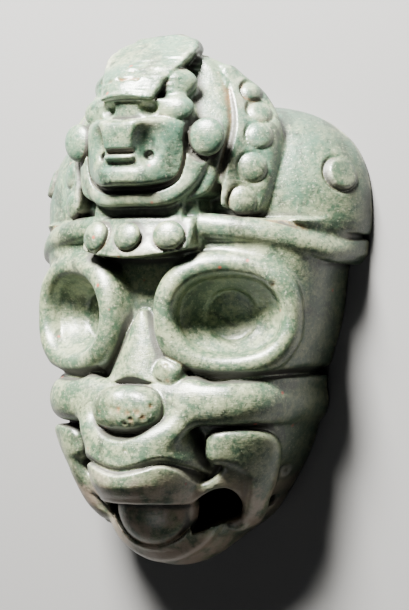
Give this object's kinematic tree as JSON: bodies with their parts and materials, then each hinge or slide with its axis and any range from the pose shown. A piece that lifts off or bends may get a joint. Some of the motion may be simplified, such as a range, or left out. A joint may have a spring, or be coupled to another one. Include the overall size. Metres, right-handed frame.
{
  "type": "pendant mask",
  "caption": "Carved green stone pendant mask with goggle eyes, hooked mouth corners and a beaded headdress, hollow at the back.",
  "frame": {"origin": "middle of the flat back, where the mask lies on the floor", "axes": "+Y to the top of the head, +Z out of the face, +X to the left side of the face (right as seen from the front)"},
  "size_m": [0.0714, 0.1, 0.0335],
  "materials": {
    "jade": "satin"
  },
  "bodies": {
    "root": {"mask": "jade"}
  },
  "joints": []
}
